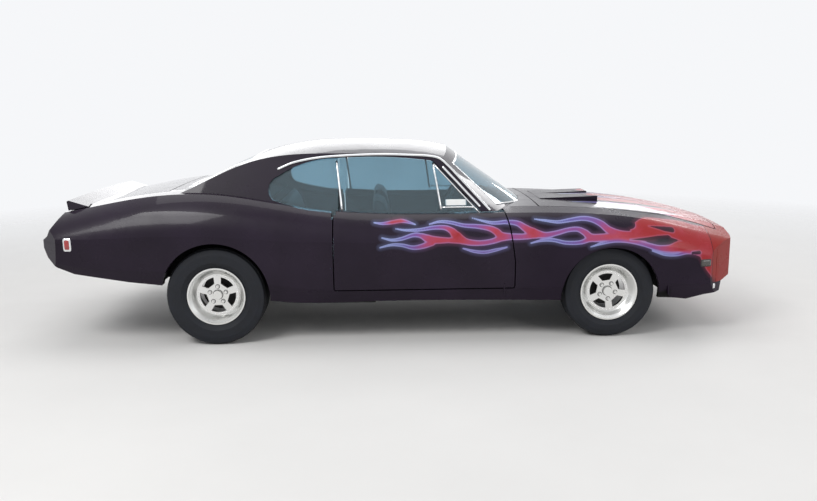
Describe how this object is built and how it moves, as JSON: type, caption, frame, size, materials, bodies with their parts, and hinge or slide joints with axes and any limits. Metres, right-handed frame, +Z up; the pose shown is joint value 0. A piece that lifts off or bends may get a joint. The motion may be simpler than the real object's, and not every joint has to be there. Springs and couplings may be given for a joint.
{
  "type": "two-door hardtop muscle car",
  "caption": "Two-door hardtop muscle car with raked stance, flamed front, deck spoiler, hood scoops, opening doors, hood and boot lid, steering and turning wheels",
  "frame": {"origin": "on the ground below the middle of the car", "axes": "+X forward, +Y to the car's left, +Z up"},
  "size_m": [5.0977, 1.8996, 1.4314],
  "materials": {
    "body_paint": "gloss",
    "glass": "polished",
    "black_plastic": "satin",
    "lamp_red": "gloss",
    "underbody": "satin",
    "engine_iron": "painted",
    "seat_vinyl": "grained",
    "polished_alloy": "polished",
    "tyre": "matte"
  },
  "bodies": {
    "body": {"roof": "body_paint", "quarter_right": "body_paint", "quarter_left": "body_paint", "fender_right": "body_paint", "fender_left": "body_paint", "rockers": "body_paint", "quarter_glass": "glass", "windscreen": "glass", "rear_window": "glass", "firewall": "body_paint", "nose_bumper": "body_paint", "grille": "black_plastic", "front_valance": "body_paint", "tail_panel": "body_paint", "rear_bumper": "body_paint", "tail_lamps": "lamp_red", "floor_pan": "underbody", "frame_rails": "underbody", "engine": "engine_iron", "driveshaft": "underbody", "rear_axle": "underbody", "fuel_tank": "underbody", "front_suspension": "underbody", "dashboard": "black_plastic", "steering_wheel": "black_plastic", "front_seats": "seat_vinyl", "rear_seat": "seat_vinyl", "rear_shelf": "black_plastic", "exhaust": "underbody"},
    "door_right": {"door_right": "body_paint", "door_glass_right": "glass"},
    "door_left": {"door_left": "body_paint", "door_glass_left": "glass"},
    "hood": {"hood": "body_paint"},
    "trunk_lid": {"trunk_lid": "body_paint", "spoiler": "body_paint"},
    "knuckle_right": {"knuckle_right": "underbody"},
    "knuckle_left": {"knuckle_left": "underbody"},
    "wheel_front_right": {"rim_front_right": "polished_alloy", "tyre_front_right": "tyre"},
    "wheel_front_left": {"rim_front_left": "polished_alloy", "tyre_front_left": "tyre"},
    "wheel_rear_right": {"rim_rear_right": "polished_alloy", "tyre_rear_right": "tyre"},
    "wheel_rear_left": {"rim_rear_left": "polished_alloy", "tyre_rear_left": "tyre"}
  },
  "joints": [
    {"name": "door_right_hinge", "type": "hinge", "parent": "body", "child": "door_right", "pos_m": [0.763, -0.92, 0.6], "axis": [0, 0, 1], "range_deg": [0, 65]},
    {"name": "door_left_hinge", "type": "hinge", "parent": "body", "child": "door_left", "pos_m": [0.763, 0.92, 0.6], "axis": [0, 0, -1], "range_deg": [0, 65]},
    {"name": "hood_hinge", "type": "hinge", "parent": "body", "child": "hood", "pos_m": [1.105, 0, 0.932], "axis": [0, -1, 0], "range_deg": [0, 50]},
    {"name": "trunk_hinge", "type": "hinge", "parent": "body", "child": "trunk_lid", "pos_m": [-1.7, 0, 1.073], "axis": [0, 1, 0], "range_deg": [0, 60]},
    {"name": "steer_right", "type": "hinge", "parent": "body", "child": "knuckle_right", "pos_m": [1.541, -0.65, 0.335], "axis": [0, 0, 1], "range_deg": [-30, 30]},
    {"name": "steer_left", "type": "hinge", "parent": "body", "child": "knuckle_left", "pos_m": [1.541, 0.65, 0.335], "axis": [0, 0, 1], "range_deg": [-30, 30]},
    {"name": "wheel_front_right_spin", "type": "hinge", "parent": "knuckle_right", "child": "wheel_front_right", "pos_m": [1.541, -0.762, 0.335], "axis": [0, 1, 0], "continuous": true},
    {"name": "wheel_front_left_spin", "type": "hinge", "parent": "knuckle_left", "child": "wheel_front_left", "pos_m": [1.541, 0.762, 0.335], "axis": [0, 1, 0], "continuous": true},
    {"name": "wheel_rear_right_spin", "type": "hinge", "parent": "body", "child": "wheel_rear_right", "pos_m": [-1.304, -0.77, 0.355], "axis": [0, 1, 0], "continuous": true},
    {"name": "wheel_rear_left_spin", "type": "hinge", "parent": "body", "child": "wheel_rear_left", "pos_m": [-1.304, 0.77, 0.355], "axis": [0, 1, 0], "continuous": true}
  ],
  "couplings": [
    {"joint": "steer_left", "follows": "steer_right", "ratio": 1}
  ]
}
